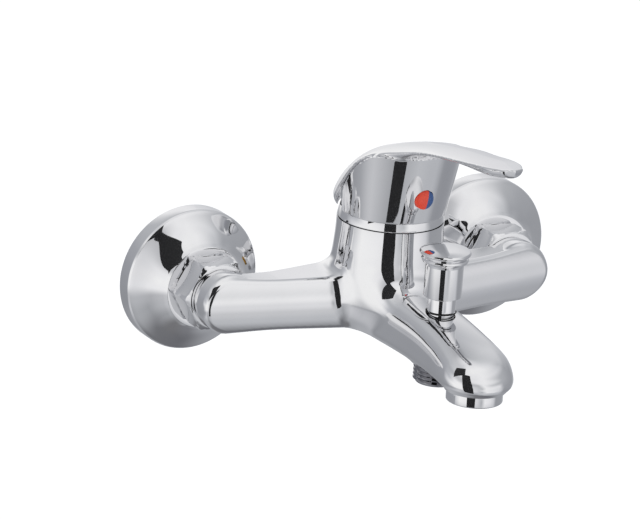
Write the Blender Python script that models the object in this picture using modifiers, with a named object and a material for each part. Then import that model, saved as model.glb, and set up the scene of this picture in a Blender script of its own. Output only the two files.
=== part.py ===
"""A wall mounted single-lever bath mixer with a pull-up diverter, a hand-shower outlet and eccentric unions.

World axes: the wall is the plane y = 0, the user stands on the -Y side, +Z is up and the origin is on the wall
midway between the two inlets. Lengths are written in millimetres and MM turns them into metres.
"""
from math import cos, pi, radians, sin, sqrt

import bmesh
import bpy
from mathutils import Vector

MM = 0.001
GAP = 0.3                       # clearance kept between pieces that touch

# Inlets and wall plates
INLET_X = 75.0                  # half of the standard 150 mm inlet spacing
PLATE_RADIUS = 32.8
PLATE_RIM = 8.0                 # depth of the straight rim of the wall plate
PLATE_FRONT = 19.6              # front face of the wall plate, out from the wall
G34_RADIUS = 13.2               # G3/4 thread, outside radius
G12_RADIUS = 10.48              # G1/2 thread, outside radius
UNION_OFFSET = 10.0             # between the two thread axes of an eccentric union
WALL_THREAD = 16.0              # length of union thread that goes into the wall
NUT_BACK = 20.0
NUT_FRONT = 34.0
NUT_RADIUS = 17.3               # across corners, for a 30 mm spanner
BOSS_RADIUS = 13.4
BOSS_BACK = 34.3

# Body column and cartridge
COLUMN_Y = -51.3
COLUMN_RADIUS = 24.4
COLUMN_TOP = 36.0
COLUMN_FOOT = -14.5
CHAMBER_RADIUS = 20.0
CHAMBER_FLOOR = 8.0
NUT_SEAT_Z = 31.0
PIVOT_Z = 33.0                  # height of the lever's pin
SWEEP_RADIUS = 24.6             # the handle's skirt sweeps this sphere about the pin

# Spout, diverter and outlets
SPOUT_BOTTOM = -15.4
DIVERTER_Y = -100.7
SPOUT_TOP = 7.2                 # top of the spout under the diverter
AERATOR_Y = -134.5
NOSE_RADIUS = 17.0
NOSE_BOTTOM = -17.3

# Handle
SKIRT_BOTTOM = 40.4
INDEX_Z = 53.0
INDEX_SEAT = 77.4               # flat floor of the index's seat, out from the wall

ROUND = 30                      # sides of the large turned pieces
SMALL = 16                      # sides of the small ones

CHROME = ("chrome", (0.80, 0.81, 0.83, 1.0), 0.05, 1.0)
BRASS = ("brass", (0.78, 0.60, 0.30, 1.0), 0.25, 1.0)
STEEL = ("steel", (0.62, 0.62, 0.63, 1.0), 0.25, 1.0)
RUBBER = ("rubber", (0.03, 0.03, 0.03, 1.0), 0.6, 0.0)
CERAMIC = ("ceramic", (0.88, 0.87, 0.84, 1.0), 0.2, 0.0)
WHITE_PLASTIC = ("white_plastic", (0.80, 0.80, 0.78, 1.0), 0.4, 0.0)
GREY_PLASTIC = ("grey_plastic", (0.35, 0.36, 0.38, 1.0), 0.45, 0.0)
INDEX_PLASTIC = ("index_plastic", (0.80, 0.10, 0.05, 1.0), 0.3, 0.0)


def clear_scene():
    for thing in list(bpy.data.objects):
        bpy.data.objects.remove(thing, do_unlink=True)


def collection(name):
    made = bpy.data.collections.new(name)
    bpy.context.scene.collection.children.link(made)
    return made


def material(spec):
    name, colour, roughness, metallic = spec
    found = bpy.data.materials.get(name)
    if found:
        return found
    made = bpy.data.materials.new(name)
    made.use_nodes = True
    surface = made.node_tree.nodes["Principled BSDF"]
    surface.inputs["Base Color"].default_value = colour
    surface.inputs["Roughness"].default_value = roughness
    surface.inputs["Metallic"].default_value = metallic
    return made


def add_object(name, mesh, spec, place=(0, 0, 0), along_y=False):
    """An object at a place in millimetres. along_y turns its local +Z to point out of the wall."""
    made = bpy.data.objects.new(name, mesh)
    made.location = [value * MM for value in place]
    made.rotation_euler = (pi / 2 if along_y else 0, 0, 0)
    if spec is None:
        made.hide_render = True
        made.display_type = "WIRE"
        CUTTERS.objects.link(made)
    else:
        mesh.materials.append(material(spec))
        PARTS.objects.link(made)
    return made


def smooth(mesh, angle=35):
    mesh.shade_smooth()
    mesh.set_sharp_from_angle(angle=radians(angle))


def turned(name, outline, spec, place=(0, 0, 0), along_y=False, sides=ROUND, closed=False):
    """Turns an outline of (radius, height) about local Z. It runs down the outside, and up the inside if closed."""
    mesh = bpy.data.meshes.new(name)
    points = [(radius * MM, 0, height * MM) for radius, height in outline]
    count = len(points)
    edges = [(i, (i + 1) % count) for i in range(count if closed else count - 1)]
    mesh.from_pydata(points, edges, [])
    made = add_object(name, mesh, spec, place, along_y)
    screw = made.modifiers.new("turn", "SCREW")
    screw.steps = sides
    screw.render_steps = sides
    screw.use_merge_vertices = True
    screw.merge_threshold = 0.00005
    screw.use_smooth_shade = True
    return made


def bar(name, radius, bottom, top, spec, place=(0, 0, 0), along_y=False, sides=SMALL):
    """A plain round bar between two heights on local Z."""
    outline = [(0, top), (radius, top), (radius, bottom), (0, bottom)]
    return turned(name, outline, spec, place, along_y, sides)


def tube(name, outer, inner, bottom, top, spec, place=(0, 0, 0), along_y=False, sides=SMALL):
    outline = [(outer, top), (outer, bottom), (inner, bottom), (inner, top)]
    return turned(name, outline, spec, place, along_y, sides, closed=True)


def box(name, low, high, spec):
    """A box between two corners in world millimetres."""
    mesh = bpy.data.meshes.new(name)
    shape = bmesh.new()
    bmesh.ops.create_cube(shape, size=1.0)
    size = [(b - a) * MM for a, b in zip(low, high)]
    bmesh.ops.scale(shape, vec=size, verts=shape.verts)
    shape.to_mesh(mesh)
    shape.free()
    return add_object(name, mesh, spec, [(a + b) / 2 for a, b in zip(low, high)])


def rod(name, radius, start, end, sides=SMALL):
    """A round cutter between two world points, capped."""
    mesh = bpy.data.meshes.new(name)
    shape = bmesh.new()
    run = [(b - a) * MM for a, b in zip(start, end)]
    length = sqrt(sum(value * value for value in run))
    bmesh.ops.create_cone(shape, cap_ends=True, segments=sides, radius1=radius * MM, radius2=radius * MM,
                          depth=length)
    shape.to_mesh(mesh)
    shape.free()
    made = add_object(name, mesh, None, [(a + b) / 2 for a, b in zip(start, end)])
    made.rotation_mode = "QUATERNION"
    made.rotation_quaternion = direction(run).to_track_quat("Z", "Y")
    return made


def direction(run):
    return Vector(run).normalized()


def loft(name, rings, spec):
    """Skins closed rings of world points, all with the same count, and caps both ends."""
    mesh = bpy.data.meshes.new(name)
    count = len(rings[0])
    points = [tuple(value * MM for value in point) for ring in rings for point in ring]
    faces = []
    for row in range(len(rings) - 1):
        for i in range(count):
            j = (i + 1) % count
            a, b = row * count, (row + 1) * count
            faces.append((a + i, a + j, b + j, b + i))
    last = (len(rings) - 1) * count
    faces.append(tuple(range(count))[::-1])
    faces.append(tuple(last + i for i in range(count)))
    mesh.from_pydata(points, [], faces)
    shape = bmesh.new()
    shape.from_mesh(mesh)
    bmesh.ops.recalc_face_normals(shape, faces=shape.faces)
    shape.to_mesh(mesh)
    shape.free()
    smooth(mesh)
    return add_object(name, mesh, spec)


def combine(target, tool, operation="DIFFERENCE", solver="EXACT"):
    step = target.modifiers.new(tool.name, "BOOLEAN")
    step.operation = operation
    step.solver = solver
    step.object = tool


def rounded(half_width, bottom, top, corner, count=16):
    """Points of a rounded oblong, as (across, up), anticlockwise from the right."""
    middle, half_height = (top + bottom) / 2, (top - bottom) / 2
    corner = min(corner, half_width, half_height)
    points = []
    for i in range(count):
        angle = 2 * pi * (i + 0.5) / count
        across = (half_width - corner) * (1 if cos(angle) > 0 else -1) + corner * cos(angle)
        up = (half_height - corner) * (1 if sin(angle) > 0 else -1) + corner * sin(angle)
        points.append((across, middle + up))
    return points


# ---- the body casting ---------------------------------------------------------------------------------------

def column():
    outline = [(0, COLUMN_TOP), (COLUMN_RADIUS, COLUMN_TOP), (COLUMN_RADIUS, 29), (COLUMN_RADIUS + 0.9, 22),
               (COLUMN_RADIUS + 1.2, 14), (COLUMN_RADIUS + 0.6, -8), (COLUMN_RADIUS - 2.2, -12.6),
               (COLUMN_RADIUS - 6.4, COLUMN_FOOT), (0, COLUMN_FOOT)]
    return turned("faucet_body", outline, CHROME, (0, COLUMN_Y, 0), sides=ROUND)


def arms():
    """Both arms in one, each ending in a rounded nose past its inlet. Rows: x, back, front, bottom, top, corner."""
    rows = [(22, 30.5, 58.5, -13.8, 13.5, 7), (29, 31.6, 56.5, -13.4, 11.8, 6),
            (36, 33.4, 55, -13, 11.1, 5.5), (55, 34.6, 51.6, -12.7, 11, 5), (76, 34.6, 47.6, -12.5, 10.8, 4.6),
            (84, 35.5, 45.8, -11.4, 9.6, 4.6), (88, 37.2, 44, -8.6, 6.8, 3.4), (89.8, 39.2, 42, -4, 2.6, 1.4)]
    rings = []
    for side, half in ((-1, rows[::-1]), (1, rows)):
        for x, back, front, bottom, top, corner in half:
            ring = rounded((front - back) / 2, bottom, top, corner)
            rings.append([(side * x, -(back + front) / 2 - across, up) for across, up in ring])
    return loft("arms", rings, None)


def spout():
    """The spout casting from the column to its round nose. Rows: y, half width, bottom, top, corner."""
    rows = [(-55, 17.5, -14.4, 15, 8), (-72, 17.5, -14.6, 15.5, 8), (-77, 16.6, -14.8, 12.2, 7.5),
            (-84, 15.8, -15, 9.2, 7), (-93, 15.4, -15.2, 7.6, 6.5), (-101, 15.4, SPOUT_BOTTOM, SPOUT_TOP, 6.5),
            (-112, 15.8, -15.6, 5.4, 6.5), (-124, 16.4, -16.2, 3, 7), (AERATOR_Y, NOSE_RADIUS, -17, -0.2, 7.5)]
    steps = 5
    for i in range(1, steps):
        angle = i * radians(86) / (steps - 1)
        drop = 7.5 * (1 - cos(angle))
        rows.append((AERATOR_Y - NOSE_RADIUS * sin(angle), NOSE_RADIUS * cos(angle), NOSE_BOTTOM + 0.3 * drop,
                     -0.2 - drop, 7.5))
    rings = [[(across, y, up) for across, up in rounded(half, low, high, corner)]
             for y, half, low, high, corner in rows]
    return loft("spout", rings, None)


def waterways(body):
    """Cored and drilled ways: hot and cold to the cartridge floor, mixed water to the spout and the diverter."""
    chamber = [(0, COLUMN_TOP + 5), (21.5, COLUMN_TOP + 5), (21.5, NUT_SEAT_Z), (CHAMBER_RADIUS, NUT_SEAT_Z),
               (CHAMBER_RADIUS, CHAMBER_FLOOR), (0, CHAMBER_FLOOR)]
    cuts = [turned("cartridge_chamber", chamber, None, (0, COLUMN_Y, 0))]
    for side, word in ((-1, "left"), (1, "right")):
        cuts.append(bar(word + "_boss_bore", 10.4, BOSS_BACK - 5, 44.5, None, (side * INLET_X, 0, 0), True))
        cuts.append(rod(word + "_arm_way", 5, (side * INLET_X, -41.5, -1), (side * 5, -41.5, -1), 16))
        cuts.append(rod(word + "_inlet_port", 3, (side * 8, -43.6, -1), (side * 8, -43.6, CHAMBER_FLOOR + 2), 16))
    cuts.append(rod("outlet_port", 4, (0, -59, -6.5), (0, -59, CHAMBER_FLOOR + 2), 16))
    cuts.append(rod("spout_way", 3.6, (0, -59, -6), (0, DIVERTER_Y, -6), 16))
    bore = [(0, SPOUT_TOP + 4), (6.3, SPOUT_TOP + 4), (6.3, -0.2), (5.2, -0.2), (5.2, -1.2), (7.6, -1.2),
            (7.6, -11.3), (8.5, -11.3), (8.5, NOSE_BOTTOM - 4), (0, NOSE_BOTTOM - 4)]
    cuts.append(turned("diverter_bore", bore, None, (0, DIVERTER_Y, 0), sides=SMALL + 4))
    cuts.append(bar("aerator_bore", 10.8, NOSE_BOTTOM - 4, -9.6, None, (0, AERATOR_Y, 0), sides=SMALL + 4))
    cuts.append(rod("nose_way", 2.3, (0, DIVERTER_Y - 3, 1.9), (0, AERATOR_Y + 3, -8.2), 14))
    for cut in cuts:
        combine(body, cut, "DIFFERENCE", "MANIFOLD")


def faucet_body():
    body = column()
    combine(body, arms(), "UNION")
    for side in (-1, 1):
        boss = bar("boss", BOSS_RADIUS, BOSS_BACK, 42, None, (side * INLET_X, 0, 0), True, SMALL + 4)
        combine(body, boss, "UNION")
    combine(body, spout(), "UNION")
    foot = bar("nose_foot", 13.6, NOSE_BOTTOM, -14, None, (0, AERATOR_Y, 0), sides=SMALL + 4)
    combine(body, foot, "UNION")
    pad = bar("shower_pad", 11.6, SPOUT_BOTTOM - 0.6, -13, None, (0, DIVERTER_Y, 0), sides=SMALL + 4)
    combine(body, pad, "UNION")
    waterways(body)
    return body


# ---- the two wall connections -------------------------------------------------------------------------------

def wall_plate(word, x):
    """The bell-shaped plate: a straight rim against the wall, a gentle concave slope and a lip at the union."""
    wall = 1.0
    outer = [(18.2, PLATE_FRONT), (19.6, 18.4), (23.4, 14.4), (28, 10.9), (31.6, 8.9), (PLATE_RADIUS, PLATE_RIM - 0.6),
             (PLATE_RADIUS, 0)]
    inner = [(PLATE_RADIUS - wall, 0), (PLATE_RADIUS - wall, PLATE_RIM - 1.2), (27.6, 9.8), (22.8, 13.3),
             (18.6, 17.4), (17.2, PLATE_FRONT - wall), (G34_RADIUS + GAP, PLATE_FRONT - wall),
             (G34_RADIUS + GAP, PLATE_FRONT)]
    turned(word + "_escutcheon", outer + inner, CHROME, (x, 0, 0), True, ROUND, closed=True)


def hex_ring(name, corner, bore, low, high, spec, place, along_y):
    """A hexagonal nut blank with its corners rounded off by a cone at the high end."""
    mesh = bpy.data.meshes.new(name)
    shape = bmesh.new()
    bmesh.ops.create_cone(shape, cap_ends=True, segments=6, radius1=corner * MM, radius2=corner * MM,
                          depth=(high - low) * MM)
    bmesh.ops.translate(shape, vec=(0, 0, (high + low) / 2 * MM), verts=shape.verts)
    shape.to_mesh(mesh)
    shape.free()
    nut = add_object(name, mesh, spec, place, along_y)
    flat = corner * cos(pi / 6)
    limit = [(0, high + 1), (flat - 0.6, high + 1), (flat - 0.6, high), (corner, high - 1.6), (corner + 1, low - 1),
             (0, low - 1)]
    combine(nut, turned(name + "_chamfer", limit, None, place, along_y, 36), "INTERSECT")
    combine(nut, bar(name + "_bore", bore, low - 5, high + 5, None, place, along_y))
    return nut


def union_nut(word, x):
    """It is held on the body by the sleeve's flange, and pulls the sleeve against the union."""
    nut = hex_ring(word + "_union_nut", NUT_RADIUS, 10.5, NUT_BACK, NUT_FRONT, CHROME, (x, 0, 0), True)
    combine(nut, bar(word + "_nut_thread", G34_RADIUS + GAP, NUT_BACK - 5, 30.5, None, (x, 0, 0), True))


def sleeve(word, x):
    outline = [(12.9, 28), (12.9, 30.2), (10.1, 30.2), (10.1, 44), (7.5, 44), (7.5, 28)]
    turned(word + "_inlet_sleeve", outline[::-1], BRASS, (x, 0, 0), True, SMALL, closed=True)


def washer(word, x):
    tube(word + "_inlet_washer", 12.7, 8.5, 25.7, 27.7, RUBBER, (x, 0, 0), True)


def eccentric(word, x):
    """An eccentric union: G3/4 at the faucet, G1/2 into the wall, their axes UNION_OFFSET apart, turned downwards."""
    low = (x, 0, -UNION_OFFSET)
    union = bar(word + "_eccentric_union", G34_RADIUS, 5, 25.4, BRASS, (x, 0, 0), True)
    web = [[(x + across, y, up) for across, up in web_outline()] for y in (-5.8, -0.4)]
    combine(union, loft(word + "_web", web, None), "UNION")
    combine(union, bar(word + "_wall_thread", G12_RADIUS, -WALL_THREAD, 2, None, low, True), "UNION")
    combine(union, bar(word + "_front_way", 8.5, 9, 30, None, (x, 0, 0), True))
    combine(union, bar(word + "_back_way", 7.2, -WALL_THREAD - 5, -1, None, low, True))
    combine(union, rod(word + "_cross_way", 5, (x, -10.5, 0), (x, 2.5, -UNION_OFFSET), 16))


def web_outline(radius=11.5, count=20):
    """Two half circles, one about each thread axis, and the straight sides between them."""
    points = []
    for i in range(count):
        angle = 2 * pi * (i + 0.5) / count
        shift = 0 if sin(angle) > 0 else -UNION_OFFSET
        points.append((radius * cos(angle), shift + radius * sin(angle)))
    return points


# ---- the cartridge ------------------------------------------------------------------------------------------

def cartridge():
    centre = (0, COLUMN_Y, 0)
    base = bar("cartridge_base", 19.6, 8.9, 14.2, GREY_PLASTIC, centre, sides=ROUND)
    ports = ((-8, -43.6), (8, -43.6), (0, -59))
    for number, (x, y) in enumerate(ports):
        combine(base, bar("base_port_%d" % number, 2.9, 5, 20, None, (x, y, 0), sides=16))
        combine(base, bar("base_recess_%d" % number, 4.9, 5, 10.5, None, (x, y, 0)))
    for word, (x, y) in zip(("hot_inlet", "cold_inlet", "outlet"), ports):
        tube(word + "_seal", 4.6, 3.1, CHAMBER_FLOOR + GAP, 10.2, RUBBER, (x, y, 0))

    housing = [(17.4, 41.6), (17.4, 30.8), (19.6, 30.8), (19.6, 14.5), (17, 14.5), (17, 27), (16.2, 27),
               (16.2, 38.7), (12.2, 38.7), (12.2, 41.6)]
    turned("cartridge_housing", housing, WHITE_PLASTIC, centre, sides=ROUND, closed=True)

    fixed = bar("fixed_ceramic_disc", 16.6, 14.5, 18.3, CERAMIC, centre, sides=ROUND)
    for number, (x, y) in enumerate(ports):
        combine(fixed, bar("disc_port_%d" % number, 2.9, 10, 22, None, (x, y, 0), sides=16))
    moving = bar("moving_ceramic_disc", 12.2, 18.6, 21.8, CERAMIC, centre, sides=ROUND)
    combine(moving, box("mixing_hollow", (-4.5, -64, 17), (4.5, -56, 20.4), None))

    carrier = bar("disc_carrier", 12.2, 22.1, 25.6, WHITE_PLASTIC, centre, sides=SMALL + 4)
    combine(carrier, box("finger_pocket", (-3, COLUMN_Y - 3, 23.1), (3, COLUMN_Y + 3, 27), None))

    rotor_outline = [(0, 42), (11.8, 42), (11.8, 38.3), (15.8, 38.3), (15.8, 27.4), (0, 27.4)]
    rotor = turned("cartridge_rotor", rotor_outline, GREY_PLASTIC, centre, sides=SMALL + 4)
    combine(rotor, box("spindle_slot", (-4.4, COLUMN_Y - 6.8, 20), (4.4, COLUMN_Y + 9.4, 50), None))
    combine(rotor, rod("pin_hole", 1.8, (-20, COLUMN_Y, PIVOT_Z), (20, COLUMN_Y, PIVOT_Z), 16))
    pin = bar("spindle_pivot_pin", 1.5, -14.5, 14.5, STEEL, (0, COLUMN_Y, PIVOT_Z), sides=16)
    pin.rotation_euler = (0, pi / 2, 0)

    spindle = box("cartridge_spindle", (-4, COLUMN_Y - 4, 28.5), (4, COLUMN_Y + 4, 62), BRASS)
    finger = [(0, 30), (2.4, 30), (2.4, 25.4), (1.7, 24), (0, 23.5)]
    combine(spindle, turned("spindle_finger", finger, None, centre, sides=16), "UNION")
    combine(spindle, rod("spindle_hole", 1.8, (-20, COLUMN_Y, PIVOT_Z), (20, COLUMN_Y, PIVOT_Z), 16))


def retaining_nut():
    """It screws into the top of the column and holds the cartridge down; the chromed ring covers its thread."""
    place = (0, COLUMN_Y, 0)
    nut = hex_ring("cartridge_retaining_nut", 20.2, 17.8, 34, 42, BRASS, place, False)
    combine(nut, tube("nut_skirt", 21.2, 18.1, 31.2, COLUMN_TOP - 0.2, None, place, sides=ROUND), "UNION")


def cover_ring():
    """A zone of the sphere about the pin, so that the handle's skirt passes over it at any lift."""
    heights = [41.6, 40.6, 39.6, 38.6, 37.6, 36.7, COLUMN_TOP + GAP]
    outer = [(sqrt(SWEEP_RADIUS ** 2 - (z - PIVOT_Z) ** 2) - 0.25, z) for z in heights]
    turned("cover_ring", outer + [(20.6, COLUMN_TOP + GAP), (20.6, 41.6)], CHROME, (0, COLUMN_Y, 0), sides=ROUND,
           closed=True)


# ---- the handle ---------------------------------------------------------------------------------------------

def lever_cap():
    """The cap over the hood and the lever in one. Rows: y, half width, underside, edge, crown, fullness."""
    rows = [(-38, 23.6, 40.4, 41.4, 64.4, 1), (-45, 26.2, 42, 45.2, 68.2, 1), (-51.3, 27.2, 48, 52.6, 70.8, 1),
            (-56, 27.4, 54, 59.2, 72.4, 1), (-62, 26.7, 61, 66.3, 74.6, 0.8), (-67, 25, 65.5, 70.8, 76, 0.5),
            (-72, 22, 67.8, 73.8, 77.2, 0.2), (-77, 18.6, 70, 75.8, 78.5, 0), (-84, 16.3, 74.2, 77.8, 80.2, 0),
            (-93, 14.8, 77.8, 80.4, 82.1, 0), (-107, 13.6, 81, 83.6, 84.8, 0), (-124, 11.8, 83.4, 86.4, 87.1, 0),
            (-140, 9.9, 84.4, 88.9, 89.2, 0), (-149, 7.3, 85.8, 89.7, 90.1, 0), (-153.4, 3.4, 86.6, 90, 90.4, 0)]
    rings = []
    for y, half, under, edge, crown, full in rows:
        ring = [(-half, y, edge), (-half * 0.96, y, (edge + under) / 2), (-half * 0.72, y, under),
                (0, y, under - 0.3), (half * 0.72, y, under), (half * 0.96, y, (edge + under) / 2), (half, y, edge)]
        for share in (0.93, 0.72, 0.38, 0, -0.38, -0.72, -0.93):
            round_rise = (1 - abs(share) ** 1.85) ** 0.54
            flat_rise = 1 - share * share
            ring.append((half * share, y, edge + (crown - edge) * (full * round_rise + (1 - full) * flat_rise)))
        rings.append(ring)
    return loft("lever_cap", rings, None)


def skirt():
    """The flared front of the skirt, cut off along the crease under the cap."""
    rows = ((42, 24.6, 24.8), (48, 25.8, 26.7), (INDEX_Z, 26.5, 28), (60, 27.4, 29.6), (69.5, 28.6, 31.4))
    front = loft("skirt_front", [[(x, y, z) for x, y in front_ring(half, reach)] for z, half, reach in rows], None)
    crease = ((-38, 37.4), (-84, 89.4), (-84, 110), (-10, 110), (-10, 37.4))
    above = loft("above_crease", [[(x, y, z) for y, z in crease] for x in (-40, 40)], None)
    combine(front, above)
    return front


def handle():
    """A die-cast hood with a thin skirt that clears the sphere of the cover ring, a square socket and the lever."""
    outline = [(0, 70.4), (5, 69), (10.3, 66.2), (17.3, 61), (23.3, 53), (25.7, 48), (26, 45.5), (25.3, 42.6),
               (24.4, SKIRT_BOTTOM), (0, SKIRT_BOTTOM)]
    hood = turned("handle", outline, CHROME, (0, COLUMN_Y, 0), sides=ROUND)
    combine(hood, skirt(), "UNION")
    combine(hood, lever_cap(), "UNION")
    hollow = [(0, 60), (12, 59), (17.5, 56), (21.3, 51.5), (23.6, 46.5), (24.05, 43), (23.85, SKIRT_BOTTOM - 1),
              (0, SKIRT_BOTTOM - 1)]
    combine(hood, turned("hood_hollow", hollow, None, (0, COLUMN_Y, 0), sides=ROUND))
    hub = turned("socket_hub", [(0, 64), (9, 64), (9, 48.5), (0, 48.5)], None, (0, COLUMN_Y, 0), sides=SMALL + 4)
    combine(hood, hub, "UNION")
    combine(hood, box("socket", (-4.3, COLUMN_Y - 4.3, 40), (4.3, COLUMN_Y + 4.3, 62.5), None))
    combine(hood, bar("screw_hole", 2.8, -COLUMN_Y + 2, 90, None, (0, 0, INDEX_Z), True))
    combine(hood, bar("index_seat", 4.9, INDEX_SEAT, 90, None, (0, 0, INDEX_Z), True))


def front_ring(half, reach, count=16):
    """Half an ellipse to the front of the column's axis, closed inside the hood."""
    points = []
    for i in range(count):
        angle = pi + pi * i / (count - 1)
        points.append((half * cos(angle), COLUMN_Y + reach * sin(angle)))
    return points + [(10, COLUMN_Y + 4), (-10, COLUMN_Y + 4)]


def handle_trim():
    """The grub screw that grips the spindle, and the two-coloured index that closes its hole."""
    screw = bar("handle_set_screw", 2.5, -COLUMN_Y + 4 + GAP, -COLUMN_Y + 14.3, STEEL, (0, 0, INDEX_Z), True, SMALL)
    socket = bar("screw_socket", 1.25, -COLUMN_Y + 11.5, 90, None, (0, 0, INDEX_Z), True, 6)
    combine(screw, socket)
    outline = [(0, 80.7), (3.4, 80.5), (4.5, 79.9), (4.6, INDEX_SEAT + GAP), (2.4, INDEX_SEAT + GAP),
               (2.4, 73), (0, 73)]
    turned("temperature_index", outline, INDEX_PLASTIC, (0, 0, INDEX_Z), True, SMALL + 4)


# ---- the diverter and the outlets ---------------------------------------------------------------------------

def diverter():
    place = (0, DIVERTER_Y, 0)
    bonnet = [(6.3, 14.4), (6.5, 14.0), (6.5, SPOUT_TOP + 1.2), (6.0, SPOUT_TOP + 1.2), (6.0, 3.6), (2.7, 3.6),
              (2.7, 14.4)]
    turned("diverter_bonnet", bonnet, CHROME, place, sides=SMALL + 4, closed=True)
    tube("bonnet_o_ring", 7, 6.4, SPOUT_TOP + GAP, SPOUT_TOP + 0.9, RUBBER, place, sides=SMALL + 4)
    knob = [(0, 37.4), (8, 37), (11.2, 36.2), (11.73, 35.4), (11.4, 34.7), (9.6, 34.3), (9.5, 33.4), (10.6, 32.9),
            (10.8, 32.2), (10.2, 31.4), (8.9, 30.6), (8.6, 29.6), (8.6, 15.4), (8.0, 14.9), (0, 14.9)]
    cap = turned("diverter_knob", knob, CHROME, place, sides=ROUND)
    combine(cap, bar("rod_socket", 2.3, 10, 26, None, place, sides=16))
    stem = bar("diverter_rod", 2, -8, 25.5, BRASS, place, sides=16)
    combine(stem, bar("rod_foot", 3, -8, -6.9, None, place, sides=16), "UNION")
    disc = [(0, -8.3), (5.2, -8.3), (6.6, -8.7), (6.8, -9.4), (6.8, -10.6), (6.2, -11.0), (0, -11.0)]
    turned("diverter_valve_disc", disc, RUBBER, place)
    coil = spring_coil("diverter_spring", 3.9, 0.45, -6.2, 3.0, 6)
    coil.location = [value * MM for value in place]


def spring_coil(name, radius, wire, bottom, top, turns):
    """A wire along a helix; its points are a polyline so that the coil stays light."""
    curve = bpy.data.curves.new(name, "CURVE")
    curve.dimensions = "3D"
    curve.bevel_depth = wire * MM
    curve.bevel_resolution = 0
    curve.use_fill_caps = True
    count = turns * 8
    line = curve.splines.new("POLY")
    line.points.add(count)
    for i, point in enumerate(line.points):
        angle = 2 * pi * i / 8
        height = bottom + (top - bottom) * i / count
        point.co = (radius * cos(angle) * MM, radius * sin(angle) * MM, height * MM, 1)
    made = bpy.data.objects.new(name, curve)
    curve.materials.append(material(STEEL))
    PARTS.objects.link(made)
    return made


def shower_outlet():
    """G1/2 male nipple, screwed up into the spout; its upper end is the diverter's lower seat."""
    outline = [(9.9, -16.3), (G12_RADIUS, -16.9), (G12_RADIUS, -24.6), (9.9, -25.3), (7, -25.3), (5, -22), (5, -11.6),
               (8.2, -11.6), (8.2, -16.3)]
    turned("shower_outlet_nipple", outline, CHROME, (0, DIVERTER_Y, 0), sides=SMALL + 4, closed=True)


def aerator():
    place = (0, AERATOR_Y, 0)
    shell = [(12.76, NOSE_BOTTOM - GAP), (12.76, -22.3), (12.3, -22.75), (10.4, -22.75), (9.6, -21.8), (9.6, -11.8),
             (10.5, -11.8), (10.5, NOSE_BOTTOM - GAP)]
    turned("aerator_housing", shell, CHROME, place, sides=ROUND, closed=True)
    insert = bar("aerator_insert", 9.3, -20.8, -12.6, GREY_PLASTIC, place, sides=SMALL + 4)
    for ring, count in ((0, 1), (5.2, 6)):
        for i in range(count):
            angle = 2 * pi * i / count
            hole = (ring * cos(angle), AERATOR_Y + ring * sin(angle), 0)
            combine(insert, bar("jet_%d_%d" % (count, i), 0.9, -23, -17, None, hole, sides=6))
    tube("aerator_washer", 9.8, 7, -11.4, -10, RUBBER, place)


# ---- the joints' axes ---------------------------------------------------------------------------------------

def hang_on(name, place, *pieces):
    """An empty on a joint's axis, with the pieces that turn about it as its children."""
    axis = bpy.data.objects.new(name, None)
    axis.location = [value * MM for value in place]
    PARTS.objects.link(axis)
    bpy.context.view_layer.update()
    for piece in pieces:
        child = bpy.data.objects[piece]
        child.parent = axis
        child.matrix_parent_inverse = axis.matrix_world.inverted()


clear_scene()
PARTS = collection("bath_faucet")
CUTTERS = collection("cutters")
CUTTERS.hide_render = True
faucet_body()
for WORD, X in (("left", -INLET_X), ("right", INLET_X)):
    wall_plate(WORD, X)
    union_nut(WORD, X)
    sleeve(WORD, X)
    washer(WORD, X)
    eccentric(WORD, X)
cartridge()
retaining_nut()
cover_ring()
handle()
handle_trim()
diverter()
shower_outlet()
aerator()
hang_on("lever_pin_axis", (0, COLUMN_Y, PIVOT_Z), "handle", "cartridge_spindle", "handle_set_screw",
        "temperature_index")
hang_on("column_axis", (0, COLUMN_Y, PIVOT_Z), "cartridge_rotor", "spindle_pivot_pin")
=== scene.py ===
"""A chromed wall mounted bath mixer, finished piece by piece round its CAD frame, in metres."""
import math

import bmesh
import bpy
import numpy as np
from mathutils import Matrix, Vector


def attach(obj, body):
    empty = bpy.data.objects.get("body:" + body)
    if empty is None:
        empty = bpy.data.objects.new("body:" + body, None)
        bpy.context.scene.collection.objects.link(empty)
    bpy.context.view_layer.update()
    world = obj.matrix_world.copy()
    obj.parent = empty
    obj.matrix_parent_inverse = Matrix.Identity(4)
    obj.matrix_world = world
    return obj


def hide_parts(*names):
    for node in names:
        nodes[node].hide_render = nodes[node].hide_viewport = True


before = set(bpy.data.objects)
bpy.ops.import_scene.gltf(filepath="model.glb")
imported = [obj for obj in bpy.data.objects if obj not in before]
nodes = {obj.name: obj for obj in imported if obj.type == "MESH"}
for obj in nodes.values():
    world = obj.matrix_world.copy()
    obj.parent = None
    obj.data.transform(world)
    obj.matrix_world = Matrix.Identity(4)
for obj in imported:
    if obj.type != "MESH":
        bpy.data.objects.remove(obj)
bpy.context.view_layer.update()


# ---- Camera and studio --------------------------------------------------------------------------------
# A long lens a few metres away, a little left of the faucet and above it, on a pale sweep of floor. The
# faucet mirrors its surroundings, so the studio is a bright tent with dark gaps between its panels.

CAMERA_AZIMUTH = math.radians(-30.8)
CAMERA_ELEVATION = math.radians(18.4)
CAMERA_ROLL = math.radians(4.27)
CAMERA_DISTANCE = 4.762
CAMERA_LENS = 591.3
CAMERA_ASIDE = -0.0039
CAMERA_RAISED = -0.0009
FLOOR_Z = -0.20
FLOOR_HALF = 3
FLOOR_GLOW = 0.42


def linear(code):
    """The linear colour of an sRGB hex code."""
    channels = [int(code[i:i + 2], 16) / 255 for i in (1, 3, 5)]
    return [c / 12.92 if c < 0.04045 else ((c + 0.055) / 1.055) ** 2.4 for c in channels] + [1.0]


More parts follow.
